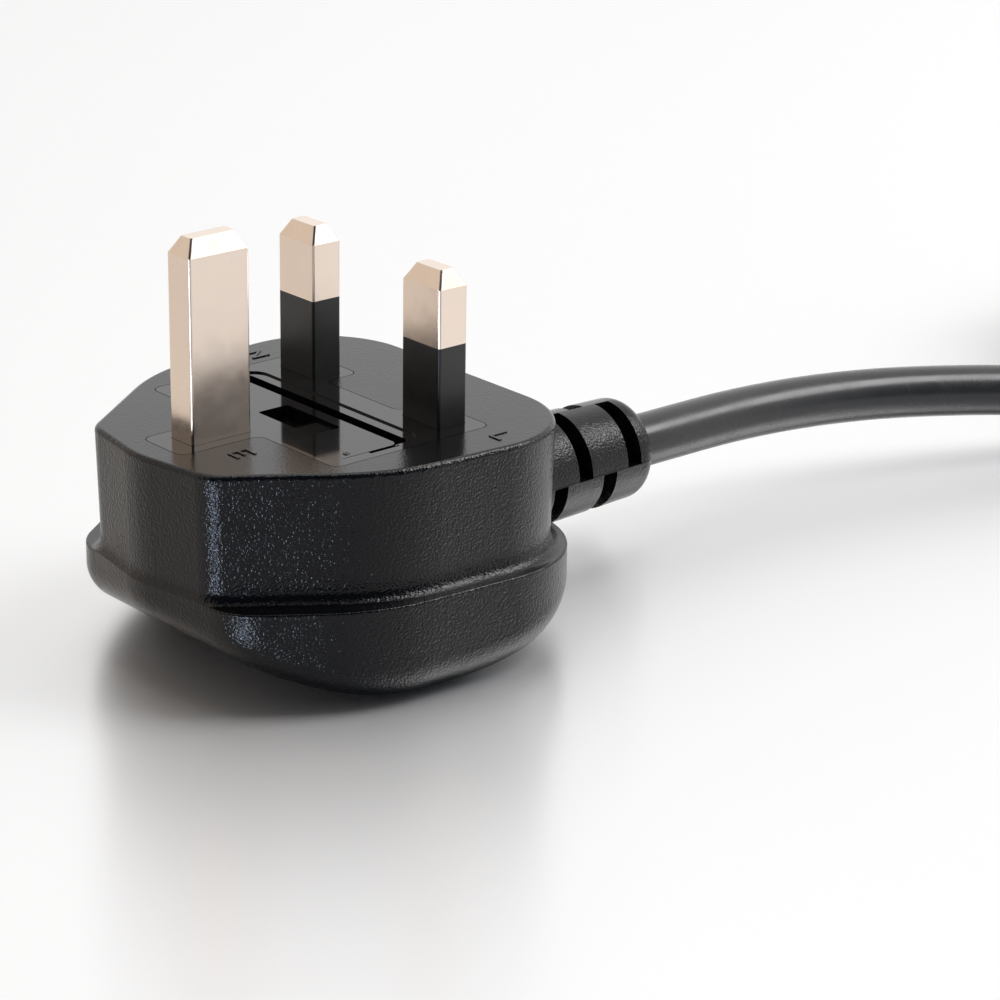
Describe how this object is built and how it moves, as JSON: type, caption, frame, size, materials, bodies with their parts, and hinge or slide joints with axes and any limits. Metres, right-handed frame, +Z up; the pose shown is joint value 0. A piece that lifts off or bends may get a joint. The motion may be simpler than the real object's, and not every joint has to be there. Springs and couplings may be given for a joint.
{
  "type": "mains plug",
  "caption": "Moulded mains plug with rectangular pins, a slotted strain relief and a fuse carrier in its pin face, on a flexible lead that ends in bare prepared cores.",
  "frame": {"origin": "on the table under the middle of the plug's own box, from the earth end to the end of the strain relief", "axes": "+X from the earth pin towards the cord, +Y towards the neutral pin, +Z up along the pins"},
  "size_m": [0.2954, 0.061, 0.0492],
  "materials": {
    "body_black": "satin moulded PVC with a fine spark-eroded grain",
    "bridge_black": "glossy hard moulding",
    "pin_metal": "satin nickel plate",
    "sleeve_black": "satin nylon",
    "fuse_ceramic": "glazed ceramic",
    "cap_metal": "bright nickel plate",
    "terminal_metal": "bare strip",
    "core_brown": "PVC insulation",
    "core_blue": "PVC insulation",
    "core_green_yellow": "PVC insulation, green with a yellow stripe",
    "cord_sheath": "satin PVC sheath",
    "tie_black": "soft plastic strip",
    "ferrule_metal": "tinned"
  },
  "bodies": {
    "plug": {"plug_body": "body_black", "pin_bridge": "bridge_black", "terminal_cover": "bridge_black", "line_pin": "pin_metal", "neutral_pin": "pin_metal", "earth_pin": "pin_metal", "line_pin_sleeve": "sleeve_black", "neutral_pin_sleeve": "sleeve_black", "line_fuse_clip": "terminal_metal", "line_terminal": "terminal_metal", "neutral_terminal": "terminal_metal", "earth_terminal": "terminal_metal", "line_core": "core_brown", "neutral_core": "core_blue", "earth_core": "core_green_yellow", "cord_tube": "cord_sheath", "cord_hank": "cord_sheath", "cord_tail": "cord_sheath", "near_cord_tie": "tie_black", "far_cord_tie": "tie_black", "line_end_core": "core_brown", "neutral_end_core": "core_blue", "earth_end_core": "core_green_yellow", "line_ferrule": "ferrule_metal", "neutral_ferrule": "ferrule_metal", "earth_ferrule": "ferrule_metal"},
    "carrier": {"fuse_carrier": "bridge_black", "fuse_tube": "fuse_ceramic", "line_fuse_cap": "cap_metal", "supply_fuse_cap": "cap_metal"}
  },
  "joints": [
    {"name": "carrier_slide", "type": "slide", "parent": "plug", "child": "carrier", "axis": [0, 0, 1], "range_m": [0, 0.012]}
  ]
}
